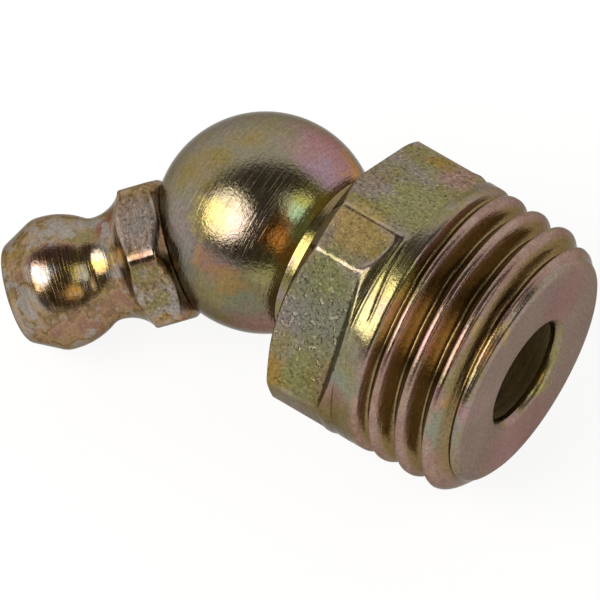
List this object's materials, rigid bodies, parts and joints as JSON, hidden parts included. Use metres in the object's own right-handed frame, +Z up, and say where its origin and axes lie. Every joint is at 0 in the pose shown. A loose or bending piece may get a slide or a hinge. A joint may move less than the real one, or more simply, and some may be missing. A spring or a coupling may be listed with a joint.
{
  "type": "angled grease nipple",
  "caption": "Grease nipple set at 45 degrees on a ball, with a tapered threaded stud, a wrench square and a sprung ball valve in its hooked head.",
  "frame": {"origin": "centre of the stud's open end face, where the grease comes out", "axes": "+X runs along the stud from its open end to the ball, +Z is up as the part lies, and the head leaves the ball towards +X, +Y and the ground"},
  "size_m": [0.0256, 0.0167, 0.0139],
  "materials": {
    "plated_body": "zinc with iridescent yellow chromate, worn",
    "plated_head": "zinc with iridescent yellow chromate, worn",
    "ball_steel": "ground and polished",
    "spring_steel": "drawn wire"
  },
  "bodies": {
    "nipple": {"elbow_body": "plated_body", "nipple_head": "plated_head", "spring": "spring_steel"},
    "valve_ball": {"check_ball": "ball_steel"}
  },
  "joints": [
    {"name": "valve_slide", "type": "slide", "parent": "nipple", "child": "valve_ball", "axis": [-0.7071, -0.626, 0.3289], "range_m": [0, 0.0008], "stiffness_N_per_m": 5400, "springref_m": -0.0004, "deforming": ["spring"]}
  ]
}
